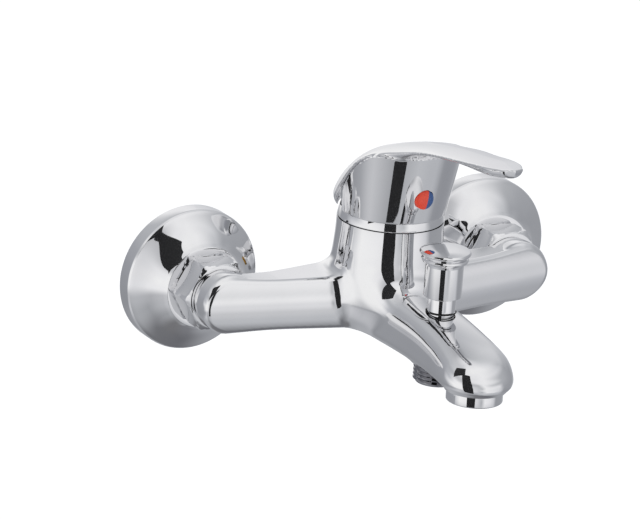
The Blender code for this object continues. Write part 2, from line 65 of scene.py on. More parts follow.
def add_node(tree, kind, settings=None, **inputs):
    """A node of a tree, with its settings, and its inputs as values or as other nodes' outputs."""
    made = tree.nodes.new(kind)
    for name, value in (settings or {}).items():
        setattr(made, name, value)
    for name, value in inputs.items():
        socket = made.inputs[int(name[1:])] if name[1:].isdigit() else made.inputs[name.replace("_", " ")]
        if isinstance(value, bpy.types.NodeSocket):
            tree.links.new(value, socket)
        else:
            socket.default_value = value
    return made


def set_ramp(ramp, stops):
    """Fills a colour ramp, which runs once round, from (azimuth, hex colour) stops."""
    while len(ramp.elements) < len(stops):
        ramp.elements.new(0.5)
    for element, (azimuth, code) in zip(ramp.elements, stops):
        element.position = azimuth / 360 + 0.5
        element.color = linear(code)


def aim_camera():
    a, e, r = CAMERA_AZIMUTH, CAMERA_ELEVATION, CAMERA_ROLL
    back = Vector((math.sin(a) * math.cos(e), -math.cos(a) * math.cos(e), math.sin(e)))
    right = (-back).cross(Vector((0, 0, 1))).normalized()
    up = right.cross(-back)
    right, up = math.cos(r) * right + math.sin(r) * up, math.cos(r) * up - math.sin(r) * right
    lens = bpy.data.cameras.new("camera")
    lens.lens = CAMERA_LENS
    lens.clip_end = 50
    camera = bpy.data.objects.new("camera", lens)
    bpy.context.scene.collection.objects.link(camera)
    camera.matrix_world = Matrix((right, up, back)).transposed().to_4x4()
    camera.location = back * CAMERA_DISTANCE + right * CAMERA_ASIDE + up * CAMERA_RAISED
    bpy.context.scene.camera = camera


# Each row of the tent is an elevation, then (azimuth from the camera, grey of the panel there), in degrees.
TENT = [
    (-88, [(-180, "#7a7a7d"), (180, "#7a7a7d")]),
    (-68, [(-180, "#a3a5aa"), (-60, "#b0b2b6"), (20, "#78797d"), (100, "#6f7075"), (180, "#84858a")]),
    (-45, [(-180, "#b0b2b6"), (-110, "#b4b6bb"), (-60, "#d2d3d7"), (-10, "#a8aaae"), (42, "#c6c8cc"),
           (90, "#b8babf"), (130, "#a2a4a9"), (180, "#a0a2a7")]),
    (-30, [(-180, "#94969b"), (-100, "#9a9ca1"), (-75, "#a6a8ad"), (-50, "#cfd0d3"), (-20, "#b9babe"),
           (10, "#c2c4c8"), (42, "#d2d3d6"), (66, "#c2c4c9"), (85, "#c4c6cb"), (104, "#96989e"),
           (150, "#9c9ea4"),
           (180, "#9a9ca2")]),
    (-16, [(-180, "#eaeaec"), (-168, "#d8d9dc"), (-155, "#92949a"), (-95, "#a4a6ab"), (-78, "#dcdde0"),
           (-60, "#ffffff"), (-14, "#f8f8fa"), (14, "#dedfe2"), (30, "#b8babe"), (44, "#fafafc"),
           (66, "#f0f0f3"), (84, "#d8d9dd"), (96, "#a0a2a7"), (140, "#a2a4a9"), (165, "#c4c6ca"),
           (180, "#d4d5d9")]),
    (-4, [(-180, "#dedfe2"), (-170, "#ffffff"), (-145, "#ffffff"), (-132, "#9ea0a6"), (-108, "#a2a4aa"),
          (-90, "#dcdde1"), (-66, "#ffffff"), (-30, "#ffffff"), (0, "#eaeaec"), (22, "#d4d5d8"),
          (40, "#fafafb"),
          (78, "#e4e5e8"), (96, "#a4a6ab"), (135, "#a0a2a7"), (160, "#b4b6bb"), (180, "#d6d7db")]),
    (8, [(-180, "#e6e6e9"), (-170, "#ffffff"), (-142, "#ffffff"), (-134, "#a8aab0"), (-108, "#a8aab0"),
         (-78, "#c8cacf"), (-58, "#fafafc"), (-42, "#ffffff"), (-20, "#f4f4f6"), (14, "#d8d9dc"),
         (30, "#c4c6c9"),
         (42, "#fafafb"), (80, "#eaeaed"), (92, "#acaeb3"), (135, "#a2a4a9"), (160, "#c0c2c7"),
         (180, "#e2e3e6")]),
    (26, [(-180, "#f4f4f6"), (-160, "#fafafb"), (-140, "#bcbec2"), (-110, "#b0b2b7"), (-60, "#c0c2c6"),
          (-38, "#cccdd0"), (24, "#c4c5c8"), (40, "#fafafb"), (60, "#d6d7da"), (90, "#b8babe"),
          (120, "#aaacb1"),
          (150, "#c0c2c6"), (180, "#f0f0f2")]),
    (42, [(-180, "#a2a4a9"), (-150, "#bcbec2"), (-90, "#c4c6ca"), (-60, "#d6d7da"), (-40, "#f4f4f5"),
          (24, "#f4f4f6"), (50, "#fafafb"), (90, "#e2e3e6"), (120, "#c4c6ca"), (160, "#dcdde0"),
          (180, "#bcbec3")]),
    (62, [(-180, "#a4a6ab"), (-90, "#cccdd0"), (-40, "#d4d5d8"), (-10, "#f4f4f5"), (20, "#fcfcfc"),
          (70, "#fafafb"),
          (120, "#e0e1e4"), (150, "#d0d2d5"), (180, "#a0a2a7")]),
    (88, [(-180, "#ececee"), (180, "#ececee")])]


def hang_tent():
    """The world is the tent: rows of panels by direction, blended from one elevation to the next."""
    world = bpy.data.worlds.new("tent")
    bpy.context.scene.world = world
    world.use_nodes = True
    tree = world.node_tree
    tree.nodes.clear()
    direction = add_node(tree, "ShaderNodeTexCoord").outputs["Generated"]
    turned = add_node(tree, "ShaderNodeVectorRotate", {"rotation_type": "Z_AXIS"}, Vector=direction,
                      Angle=-CAMERA_AZIMUTH)
    split = add_node(tree, "ShaderNodeSeparateXYZ", Vector=turned.outputs[0])
    backward = add_node(tree, "ShaderNodeMath", {"operation": "MULTIPLY"}, _0=split.outputs["Y"], _1=-1.0)
    around = add_node(tree, "ShaderNodeMath", {"operation": "ARCTAN2"}, _0=split.outputs["X"],
                      _1=backward.outputs[0])
    turns = add_node(tree, "ShaderNodeMath", {"operation": "MULTIPLY_ADD"}, _0=around.outputs[0],
                     _1=0.5 / math.pi, _2=0.5)
    height = add_node(tree, "ShaderNodeMath", {"operation": "ARCSINE"}, _0=split.outputs["Z"])
    colour = None
    for (low, _), (high, row) in zip([TENT[0]] + TENT, TENT):
        ramp = add_node(tree, "ShaderNodeValToRGB", Fac=turns.outputs[0])
        set_ramp(ramp.color_ramp, row)
        if colour is None:
            colour = ramp.outputs[0]
            continue
        share = add_node(tree, "ShaderNodeMapRange", {"interpolation_type": "SMOOTHSTEP"},
                         Value=height.outputs[0],
                         From_Min=math.radians(low), From_Max=math.radians(high))
        mixed = add_node(tree, "ShaderNodeMix", {"data_type": "RGBA"}, _0=share.outputs[0], _6=colour,
                         _7=ramp.outputs[0])
        colour = mixed.outputs[2]
    lit = add_node(tree, "ShaderNodeBackground", Color=colour, Strength=1.0)
    plain = add_node(tree, "ShaderNodeBackground", Color=(1, 1, 1, 1), Strength=1.1)
    seen = add_node(tree, "ShaderNodeLightPath").outputs["Is Camera Ray"]
    both = add_node(tree, "ShaderNodeMixShader", _0=seen, _1=lit.outputs[0], _2=plain.outputs[0])
    add_node(tree, "ShaderNodeOutputWorld", Surface=both.outputs[0])


def screen(name, corners, code, glow, seen):
    """A flat sheet of the studio. A sheet that is not seen shows only in the chrome, and casts no shadow."""
    mesh = bpy.data.meshes.new(name)
    mesh.from_pydata(corners, [], [(0, 1, 2, 3)])
    paint = bpy.data.materials.new(name)
    paint.use_nodes = True
    surface = paint.node_tree.nodes["Principled BSDF"]
    surface.inputs["Base Color"].default_value = linear(code)
    surface.inputs["Roughness"].default_value = 0.9
    surface.inputs["Emission Color"].default_value = (1, 1, 1, 1)
    surface.inputs["Emission Strength"].default_value = glow
    mesh.materials.append(paint)
    sheet = bpy.data.objects.new(name, mesh)
    bpy.context.scene.collection.objects.link(sheet)
    sheet.visible_camera = sheet.visible_shadow = sheet.visible_diffuse = seen
    sheet.visible_glossy = not seen


def from_camera(ahead, aside, height):
    """A point at a distance towards the camera, to its right, and above the inlets, in metres."""
    s, c = math.sin(CAMERA_AZIMUTH), math.cos(CAMERA_AZIMUTH)
    return (ahead * s + aside * c, -ahead * c + aside * s, height)


def set_up_studio():
    """The floor, and the dark camera on its stand close in front, which the chrome mirrors."""
    screen("floor", [(x * FLOOR_HALF, y * FLOOR_HALF, FLOOR_Z) for x,
                     y in ((-1, -1), (1, -1), (1, 1), (-1, 1))],
           "#f8f8f8", FLOOR_GLOW, True)
    for name, shape in (("dark_camera", [(-0.233, 0.08), (0.021, 0.14), (0.021, 0.38), (-0.233, 0.38)]),
                        ("dark_stand", [(-0.020, -0.16), (0.080, -0.16), (0.080, 0.15), (-0.020, 0.15)])):
        screen(name, [from_camera(0.28, aside, height) for aside, height in shape], "#18181a", 0.006, False)


bpy.context.scene.view_settings.view_transform = "Standard"
aim_camera()
hang_tent()
set_up_studio()


# ---- The body casting ---------------------------------------------------------------------------------
# One brass casting: the column over the cartridge, two arms that end round the inlets and the spout. It is
# ground and polished before plating, so that its forms run into each other in soft hollows with no seam.

MM = 0.001
COLUMN_Y = -51.3
INLET_X = 75.0
DIVERTER_Y = -100.7
AERATOR_Y = -134.5


def curve_through(points):
    """A natural cubic through (place, value) points, as a function of an array of places."""
    x, y = np.array(sorted(points), float).T
    n, h = len(x), np.diff(x)
    a = np.eye(n)
    b = np.zeros(n)
    for i in range(1, n - 1):
        a[i, i - 1:i + 2] = h[i - 1], 2 * (h[i - 1] + h[i]), h[i]
        b[i] = 6 * ((y[i + 1] - y[i]) / h[i] - (y[i] - y[i - 1]) / h[i - 1])
    m = np.linalg.solve(a, b)

    def value(t):
        t = np.clip(t, x[0], x[-1])
        i = np.clip(np.searchsorted(x, t) - 1, 0, n - 2)
        u, v, w = x[i + 1] - t, t - x[i], h[i]
        return ((m[i] * u ** 3 + m[i + 1] * v ** 3) / (6 * w) + (y[i] / w - m[i] * w / 6) * u
                + (y[i + 1] / w - m[i + 1] * w / 6) * v)
    return value


def melt(a, b, reach):
    """The union of two distance fields, with a hollow fillet where they come within reach."""
    share = np.clip(0.5 + 0.5 * (b - a) / reach, 0, 1)
    return b + (a - b) * share - reach * share * (1 - share)


def common(a, b, reach):
    """What two fields share, with its edge rounded."""
    return -melt(-a, -b, reach)


def skin(field, low, high, step):
    """Points and quads of the surface where a field is 0, one point for each cell that it crosses."""
    axes = [np.arange(a, b + step, step) for a, b in zip(low, high)]
    x, y, z = np.meshgrid(*axes, indexing="ij", sparse=True)
    value = np.broadcast_to(field(x, y, z), [len(a) for a in axes]).astype(np.float32)
    inside = value < 0
    total = np.zeros([n - 1 for n in value.shape] + [3], np.float32)
    count = np.zeros([n - 1 for n in value.shape], np.int16)
    quads = []
    for axis in range(3):
        first = [slice(None)] * 3
        second = [slice(None)] * 3
        first[axis], second[axis] = slice(None, -1), slice(1, None)
        a, b = value[tuple(first)], value[tuple(second)]
        i, j, k = np.nonzero(inside[tuple(first)] != inside[tuple(second)])
        share = a[i, j, k] / (a[i, j, k] - b[i, j, k])
        place = np.stack([i, j, k], -1).astype(np.float32)
        place[:, axis] += share
        other = [o for o in range(3) if o != axis]
        ring = []
        for du, dv in ((0, 0), (-1, 0), (-1, -1), (0, -1)):
            cell = np.stack([i, j, k], -1)
            cell[:, other[0]] += du
            cell[:, other[1]] += dv
            np.add.at(total, tuple(cell.T), place)
            np.add.at(count, tuple(cell.T), 1)
            ring.append(cell)
        forward = inside[tuple(first)][i, j, k] ^ (axis == 1)
        ring = np.stack(ring, 1)
        ring[~forward] = ring[~forward][:, ::-1]
        quads.append(ring)
    used = np.nonzero(count)
    points = total[used] / count[used][:, None] * step + np.array(low, np.float32)
    number = np.full(count.shape, -1)
    number[used] = np.arange(len(points))
    faces = np.concatenate([number[tuple(np.moveaxis(q, -1, 0))] for q in quads])
    return points.astype(float), faces


def settle(field, points, rounds=4, reach=0.02):
    """Moves points onto the surface along the field's slope."""
    for _ in range(rounds):
        value = field(*points.T)
        slope = np.stack([(field(*(points + shift).T) - field(*(points - shift).T)) / (2 * reach)
                          for shift in np.eye(3) * reach], -1)
        length = np.maximum(np.linalg.norm(slope, axis=1, keepdims=True), 0.2)
        step = np.clip(value[:, None] / length, -0.5, 0.5)
        points = points - step * slope / length
    return points


def new_piece(name, mesh, body, *replaced, finish_slot="chrome"):
    """A finished piece: it rides on a body and stands for CAD nodes; finish_slot is not used."""
    made = bpy.data.objects.new(name, mesh)
    bpy.context.scene.collection.objects.link(made)
    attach(made, body)
    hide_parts(*replaced)
    return made


def cast(name, field, low, high, step):
    """A mesh of a field in millimetres, turned to metres and shaded smooth."""
    points, faces = skin(field, low, high, step)
    points = settle(field, points)
    mesh = bpy.data.meshes.new(name)
    mesh.from_pydata(points * MM, [], faces)
    mesh.shade_smooth()
    return mesh


def lathe(name, outline, place=(0, 0, 0), out=False, sides=96, closed=True):
    """A turned mesh. Outline: (radius, height, corner radius) in mm, down the outside and up the inside."""
    points = []
    count = len(outline)
    for i, (radius, height, corner) in enumerate(outline):
        here = np.array((radius, height), float)
        if not corner:
            points.append(here)
            continue
        before = np.array(outline[i - 1][:2], float) - here
        after = np.array(outline[(i + 1) % count][:2], float) - here
        before /= np.linalg.norm(before)
        after /= np.linalg.norm(after)
        half = math.acos(np.clip(before @ after, -1, 1)) / 2
        middle = here + (before + after) / np.linalg.norm(before + after) * corner / math.sin(half)
        start = here + before * corner / math.tan(half) - middle
        end = here + after * corner / math.tan(half) - middle
        swing = math.atan2(start[0] * end[1] - start[1] * end[0], start @ end)
        for share in np.linspace(0, 1, 6):
            c, s = math.cos(swing * share), math.sin(swing * share)
            points.append(middle + (c * start[0] - s * start[1], s * start[0] + c * start[1]))
    rows = len(points)
    shape = bmesh.new()
    rings = []
    for radius, height in points:
        if radius < 1e-6:
            rings.append([shape.verts.new((0, 0, height))] * sides)
            continue
        angles = [2 * math.pi * k / sides for k in range(sides)]
        rings.append([shape.verts.new((radius * math.cos(t), radius * math.sin(t), height)) for t in angles])
    for i in range(rows if closed else rows - 1):
        above, below = rings[i], rings[(i + 1) % rows]
        for k in range(sides):
            corners = [above[k], below[k], below[(k + 1) % sides], above[(k + 1) % sides]]
            face = [v for n, v in enumerate(corners) if v not in corners[:n]]
            if len(face) > 2:
                shape.faces.new(face)
    turn = Matrix.Rotation(math.pi / 2, 4, "X") if out else Matrix.Identity(4)
    matrix = Matrix.Scale(MM, 4) @ Matrix.Translation(Vector(place)) @ turn
    bmesh.ops.transform(shape, matrix=matrix, verts=shape.verts)
    bmesh.ops.recalc_face_normals(shape, faces=shape.faces)
    mesh = bpy.data.meshes.new(name)
    shape.to_mesh(mesh)
    shape.free()
    mesh.shade_smooth()
    mesh.set_sharp_from_angle(angle=math.radians(40))
    return mesh


def finish(piece, material, sharp=40):
    """Gives a piece its material and smooth shading that stops at its real edges."""
    piece.data.materials.clear()
    piece.data.materials.append(material)
    piece.data.shade_smooth()
    piece.data.set_sharp_from_angle(angle=math.radians(sharp))


def carve(piece, *tools, union=False):
    """Cuts meshes out of a piece, or joins them to it, and leaves a plain mesh."""
    for tool in tools:
        guide = bpy.data.objects.new("tool", tool)
        bpy.context.scene.collection.objects.link(guide)
        step = piece.modifiers.new("carve", "BOOLEAN")
        step.operation = "UNION" if union else "DIFFERENCE"
        step.solver = "MANIFOLD"
        step.object = guide
        bpy.context.view_layer.update()
        result = bpy.data.meshes.new_from_object(piece.evaluated_get(bpy.context.evaluated_depsgraph_get()))
        result.materials.clear()
        piece.modifiers.clear()
        old = piece.data
        piece.data = result
        bpy.data.meshes.remove(old)
        bpy.data.objects.remove(guide)
    return piece


ARM_HALF_HEIGHT = curve_through([(0, 12.6), (30, 12.2), (45, 11.9), (60, 12.0), (75, 12.9), (90, 12.9)])
SPOUT_HALF_WIDTH = curve_through([(40, 17.4), (70, 16.4), (84, 15.5), (100, 15.1), (118, 15.7), (134.5, 17),
                                  (160, 17)])
SPOUT_TOP = curve_through([(40, 15), (70, 11.5), (84, 9.0), (93, 7.9), (100.7, 7.2), (110, 6.0), (120, 4.2),
                           (130, 1.9), (139, -1.1), (146, -5.0), (151, -10), (160, -22)])
SPOUT_FOOT = curve_through([(40, -14.4), (84, -15.0), (104, -15.3), (120, -15.8), (132, -16.3), (160, -17)])
COLUMN_RADIUS = curve_through([(-20, 17), (-14, 20.2), (-8, 23.2), (-1, 24.9), (6, 25.4), (14, 25.3),
                               (22, 24.9),
                               (29, 24.4), (40, 24.3)])


def body_field(x, y, z):
    ax, out = np.abs(x), -y
    radius = np.hypot(x, y - COLUMN_Y)
    column = common(radius - COLUMN_RADIUS(z), -14.4 - z, 9)
    column = common(column, z - 38, 0.5)
    arm_z = z + 0.8
    edge = np.where(ax < INLET_X, np.abs(arm_z), np.hypot((ax - INLET_X) * 0.93,
                                                          arm_z)) - ARM_HALF_HEIGHT(ax)
    front = 49.0 + 0.19 * (INLET_X - ax) - 3.2 * (arm_z / 12.4) ** 2
    arm = common(edge, (out - front) * 0.97, 1.9)
    arm = common(arm, np.where(ax < 52, 34.5 - 0.12 * (52 - ax), 34.5) - out, 4)
    boss = common(np.hypot(ax - INLET_X, z) - 13.2, out - 43, 1)
    boss = common(boss, 33.5 - out, 0.5)
    plan = np.where(out < -AERATOR_Y, ax - SPOUT_HALF_WIDTH(out), np.hypot(x, y - AERATOR_Y) - 17)
    spout = common(plan, (z - SPOUT_TOP(out) + 0.008 * ax ** 2) * 0.93, 10)
    spout = common(spout, SPOUT_FOOT(out) - z, 5)
    spout = common(spout, 45 - out, 3)
    nose = common(np.hypot(x, y - AERATOR_Y) - 13.7, -18.2 - z, 0.5)
    nose = common(nose, z + 12, 2)
    pad = common(np.hypot(x, y - DIVERTER_Y) - 11.6, -16.2 - z, 1.6)
    pad = common(pad, z + 12, 2)
    low = np.clip((z + 14) / 14, 0, 1)
    whole = melt(column, melt(arm, boss, 2.5), 3 + 4 * low)
    whole = melt(whole, spout, 3 + 8 * low)
    whole = common(whole, -14.6 - 0.02 * np.maximum(out - 60, 0) - z, 1.5)
    whole = melt(whole, nose, 3.5)
    return melt(whole, pad, 3)


def body_casting():
    step = 0.75
    mesh = cast("body_casting", body_field, (-92, -154, -20), (92, -24, 40), step)
    body = new_piece("body_casting", mesh, "faucet", "faucet_body")
    chamber = [(0, 45, 0), (30, 45, 0), (30, 36, 0), (21.5, 36, 0), (21.5, 31, 0), (20, 31, 0), (20, 8, 0),
               (0, 8, 0)]
    column = (0, COLUMN_Y, 0)
    diverter = (0, DIVERTER_Y, 0)
    aerator = (0, AERATOR_Y, 0)
    bore = [(0, 11, 0), (6.3, 11, 0), (6.3, -0.2, 0), (5.2, -0.2, 0), (5.2, -1.2, 0), (7.6, -1.2, 0),
            (7.6, -11.3, 0),
            (8.5, -11.3, 0), (8.5, -22, 0), (0, -22, 0)]
    seat = [(0, -9.6, 0), (10.8, -9.6, 0), (10.8, -17.3, 0), (16, -17.3, 0), (16, -22, 0), (0, -22, 0)]
    mouth = [(0, 44.5, 0), (10.4, 44.5, 0), (10.4, 34.3, 0), (17, 34.3, 0), (17, 30, 0), (0, 30, 0)]
    carve(body, lathe("t", chamber, column, closed=False), lathe("t", bore, diverter, closed=False,
                                                                 sides=48),
          lathe("t", seat, aerator, closed=False), lathe("t", mouth, (-INLET_X, 0, 0), True, closed=False),
          lathe("t", mouth, (INLET_X, 0, 0), True, closed=False))
    finish(body, chrome, 50)


# Chrome is a bright, faintly blue metal, plated over a polished surface whose polish is never quite even.
def chrome_plate(name, dull, bright):
    made = bpy.data.materials.new(name)
    made.use_nodes = True
    tree = made.node_tree
    surface = tree.nodes["Principled BSDF"]
    surface.inputs["Metallic"].default_value = 1.0
    place = add_node(tree, "ShaderNodeTexCoord").outputs["Object"]
    patches = add_node(tree, "ShaderNodeTexNoise", Vector=place, Scale=60.0, Detail=3.0)
    tint = add_node(tree, "ShaderNodeMix", {"data_type": "RGBA"}, _0=patches.outputs[0], _6=linear(dull),
                    _7=linear(bright))
    tree.links.new(tint.outputs[2], surface.inputs["Base Color"])
    haze = add_node(tree, "ShaderNodeMapRange", Value=patches.outputs[0], To_Min=0.02, To_Max=0.05)
    tree.links.new(haze.outputs[0], surface.inputs["Roughness"])
    return made


chrome = chrome_plate("polished_chrome_plate", "#e8e8e9", "#efeff0")
body_casting()


# ---- The wall connections -----------------------------------------------------------------------------
# Turned brass eccentric unions screw into the wall, a spun chromed plate covers each, and a forged hexagon
# nut pulls the faucet's sleeve on to the union over a rubber washer.

PLATE_RADIUS = 32.8
UNION_OFFSET = 10.0
NUT_CORNER = 17.3


def grained(name, light, dark, roughness, grain_mm, metallic=0.0, depth=0.0, **more):
    """A finish with the small variation of how it was made: colour, gloss and, if asked, relief."""
    made = bpy.data.materials.new(name)
    made.use_nodes = True
    tree = made.node_tree
    surface = tree.nodes["Principled BSDF"]
    surface.inputs["Metallic"].default_value = metallic
    for socket, value in more.items():
        surface.inputs[socket.replace("_", " ")].default_value = value
    place = add_node(tree, "ShaderNodeTexCoord").outputs["Object"]
    grain = add_node(tree, "ShaderNodeTexNoise", Vector=place, Scale=1.0 / (grain_mm * MM), Detail=3.0)
    fac = grain.outputs["Fac"]
    tint = add_node(tree, "ShaderNodeMix", {"data_type": "RGBA"}, _0=fac, _6=linear(dark), _7=linear(light))
    tree.links.new(tint.outputs[2], surface.inputs["Base Color"])
    gloss = add_node(tree, "ShaderNodeMapRange", Value=fac, To_Min=roughness * 0.85, To_Max=roughness * 1.2)
    tree.links.new(gloss.outputs[0], surface.inputs["Roughness"])
    if depth:
        relief = add_node(tree, "ShaderNodeBump", Height=fac, Strength=0.4, Distance=depth * MM)
        tree.links.new(relief.outputs[0], surface.inputs["Normal"])
    return made


# Turned brass shows a warm yellow with fine tool marks; black nitrile rubber is matt and a little dusty.
brass = grained("turned_brass", "#e0c78e", "#c9a96a", 0.24, 1.5, metallic=1.0, depth=0.02)
rubber = grained("black_nitrile_rubber", "#232324", "#161617", 0.6, 0.6, depth=0.03)


def put_on(material, *names):
    """Gives frame parts that stay in view their finish."""
    for name in names:
        for slot in nodes[name].material_slots:
            slot.material = material


THREAD_DEPTH = 0.6     # of the pitch
THREAD_BASE = 0.96     # of the pitch


def thread_tree():
    """A screw thread: a kite-shaped ridge along a helix."""
    tree = bpy.data.node_groups.new("thread", "GeometryNodeTree")
    tree.interface.new_socket("Geometry", in_out="OUTPUT", socket_type="NodeSocketGeometry")
    for name, kind in (("Root Radius", "Float"), ("Pitch", "Float"), ("Turns", "Float"), ("Depth", "Float"),
                       ("Start", "Vector"), ("Turn", "Vector"), ("Finish", "Material")):
        tree.interface.new_socket(name, in_out="INPUT", socket_type="NodeSocket" + kind)
    given = tree.nodes.new("NodeGroupInput").outputs
    height = add_node(tree, "ShaderNodeMath", {"operation": "MULTIPLY"}, _0=given["Pitch"],
                      _1=given["Turns"])
    helix = add_node(tree, "GeometryNodeCurveSpiral", Resolution=48, Rotations=given["Turns"],
                     Start_Radius=given["Root Radius"], End_Radius=given["Root Radius"],
                     Height=height.outputs[0])
    upright = add_node(tree, "GeometryNodeSetCurveNormal", {"mode": "Z_UP"}, Curve=helix.outputs[0])
    kite = add_node(tree, "GeometryNodeCurvePrimitiveQuadrilateral", {"mode": "KITE"})
    half = add_node(tree, "ShaderNodeMath", {"operation": "MULTIPLY"}, _0=given["Pitch"], _1=THREAD_BASE)
    tree.links.new(given["Depth"], kite.inputs["Bottom Height"])
    tree.links.new(given["Depth"], kite.inputs["Top Height"])
    tree.links.new(half.outputs[0], kite.inputs["Width"])
    turned = add_node(tree, "GeometryNodeTransform", Geometry=kite.outputs[0],
                      Rotation=(0, 0, math.pi / 2))
    ridge = add_node(tree, "GeometryNodeCurveToMesh", Curve=upright.outputs[0],
                     Profile_Curve=turned.outputs[0],
                     Fill_Caps=True)
    laid = add_node(tree, "GeometryNodeTransform", Geometry=ridge.outputs[0], Translation=given["Start"],
                    Rotation=given["Turn"])
    real = add_node(tree, "GeometryNodeRealizeInstances", Geometry=laid.outputs[0])
    coloured = add_node(tree, "GeometryNodeSetMaterial", Geometry=real.outputs[0], Material=given["Finish"])
    add_node(tree, "NodeGroupOutput", Geometry=coloured.outputs[0])
    return tree


def grown(name, tree, **values):
    """The plain mesh that a node tree grows from its named inputs."""
    holder = bpy.data.objects.new(name, bpy.data.meshes.new(name))
    bpy.context.scene.collection.objects.link(holder)
    growth = holder.modifiers.new(name, "NODES")
    growth.node_group = tree
    sockets = {item.name: item.identifier for item in tree.interface.items_tree if item.in_out == "INPUT"}
    for word, value in values.items():
        growth[sockets[word.replace("_", " ")]] = value
    bpy.context.view_layer.update()
    mesh = bpy.data.meshes.new_from_object(holder.evaluated_get(bpy.context.evaluated_depsgraph_get()))
    holder.modifiers.clear()
    bpy.data.objects.remove(holder)
    return mesh


thread = thread_tree()


def merged(name, *meshes):
    """One mesh of several, each keeping its own shading."""
    shape = bmesh.new()
    for mesh in meshes:
        shape.from_mesh(mesh)
    made = bpy.data.meshes.new(name)
    shape.to_mesh(made)
    shape.free()
    return made


def threaded(crest, pitch, low, high, place, material, out=False):
    """The ridge of one thread between two heights, in millimetres."""
    depth = THREAD_DEPTH * pitch
    start = Vector(place) + (Vector((0, -low, 0)) if out else Vector((0, 0, low)))
    return grown("thread", thread, Root_Radius=(crest - depth) * MM, Pitch=pitch * MM,
                 Turns=(high - low) / pitch, Depth=depth * MM, Start=start * MM,
                 Turn=(math.pi / 2 if out else 0, 0, 0), Finish=material)


def union_field(x, y, z):
    """Both barrels of an eccentric union and the oblong web between them."""
    front = np.hypot(x, z)
    back = np.hypot(x, z + UNION_OFFSET)
    between = np.hypot(x, z + np.clip(-z, 0, UNION_OFFSET))
    web = common(between - 11.5, np.maximum(-5.8 - y, y + 0.4), 1.2)
    barrel = common(front - 12.3, np.maximum(-25.4 - y, y + 4), 0.8)
    tail = common(back - 9.4, np.maximum(-1.5 - y, y - 16), 0.8)
    whole = np.minimum(np.minimum(web, barrel), tail)
    lean = np.hypot(x, (z + 0.769 * (y + 10.5)) * 0.793) - 5
    ways = np.minimum(np.maximum(front - 8.5, y + 9), np.maximum(back - 7.2, 1 - y))
    ways = np.minimum(ways, np.maximum(lean, np.abs(y + 4) - 7))
    return np.maximum(whole, -ways)


def eccentric_union(word, x):
    mesh = cast("union", union_field, (-14, -27, -23), (14, 18, 15), 0.7)
    mesh.transform(Matrix.Translation((x * MM, 0, 0)))
    threads = [threaded(13.2, 1.814, 6.5, 24.8, (x, 0, 0), brass, True),
               threaded(10.48, 1.814, -15.2, -1, (x, 0, -UNION_OFFSET), brass, True)]
    piece = new_piece(word + "_threaded_union", merged("union", mesh, *threads), "faucet",
                      word + "_eccentric_union", finish_slot="brass")
    finish(piece, brass, 35)


def wall_plate(word, x):
    """A bell-shaped plate with a straight rim, a hollow slope and a rolled lip at the union."""
    slope = curve_through([(19.6, 18.4), (23.4, 14.4), (28, 10.9), (31.3, 8.9)])
    outer = [(17.6, 19.6, 0), (18.9, 19.5, 0.4)]
    outer += [(r, float(slope(r)), 0) for r in np.linspace(19.7, 31.3, 18)]
    outer += [(32.2, 8.3, 0.3), (PLATE_RADIUS, 7.4, 0.6), (PLATE_RADIUS, 0, 0.3)]
    inner = [(31.8, 0, 0), (31.8, 7.2, 0.6)]
    inner += [(r, float(slope(r)) - 1.1, 0) for r in np.linspace(30.8, 19.4, 12)]
    inner += [(17.4, 18.6, 0.4), (13.5, 18.6, 0), (13.5, 19.6, 0.2)]
    piece = new_piece(word + "_wall_plate", lathe(word, outer + inner, (x, 0, 0), True, 160), "faucet",
                      word + "_escutcheon")
    finish(piece, chrome, 30)


def hexagon_nut(name, rows, place, corner, out=True, sides=144):
    """A nut from (height, limit radius, is hexagonal) rows: the hexagon where it is inside the limit."""
    shape = bmesh.new()
    rings = []
    for height, limit, six in rows:
        ring = []
        for k in range(sides):
            t = 2 * math.pi * k / sides
            flat = corner * math.cos(math.pi / 6) / math.cos(t % (math.pi / 3) - math.pi / 6)
            r = min(limit, flat) if six else limit
            ring.append(shape.verts.new((r * math.cos(t), r * math.sin(t), height)))
        rings.append(ring)
    for i, above in enumerate(rings):
        below = rings[(i + 1) % len(rings)]
        for k in range(sides):
            shape.faces.new((above[k], below[k], below[(k + 1) % sides], above[(k + 1) % sides]))
    turn = Matrix.Rotation(math.pi / 2, 4, "X") if out else Matrix.Identity(4)
    bmesh.ops.transform(shape, matrix=Matrix.Scale(MM, 4) @ Matrix.Translation(Vector(place)) @ turn,
                        verts=shape.verts)
    bmesh.ops.recalc_face_normals(shape, faces=shape.faces)
    mesh = bpy.data.meshes.new(name)
    shape.to_mesh(mesh)
    shape.free()
    return mesh


def union_nut(word, x):
    rows = [(30.5, 13.5, False), (20.5, 13.5, False), (20, 14, False), (20, 14.6, True), (20.7, 15.6, True),
            (21.4, 17.0, True), (21.8, NUT_CORNER, True), (32.2, NUT_CORNER, True), (32.6, 17.0, True),
            (33.2, 15.9, True), (33.8, 14.9, True), (34, 14.4, True), (34, 11, False), (33.6, 10.5, False),
            (30.5, 10.5, False)]
    piece = new_piece(word + "_hexagon_nut", hexagon_nut(word, rows, (x, 0, 0), NUT_CORNER), "faucet",
                      word + "_union_nut")
    finish(piece, chrome, 24)


for word, x in (("left", -INLET_X), ("right", INLET_X)):
    eccentric_union(word, x)
    wall_plate(word, x)
    union_nut(word, x)
    put_on(brass, word + "_inlet_sleeve")
    put_on(rubber, word + "_inlet_washer")


# ---- The cartridge ------------------------------------------------------------------------------------
# A 40 mm ceramic cartridge: moulded acetal housing and base, two lapped alumina discs, a brass spindle on a
# steel pin. A brass nut holds it in the column, and the chromed ring over the nut is turned as part of a
# sphere.

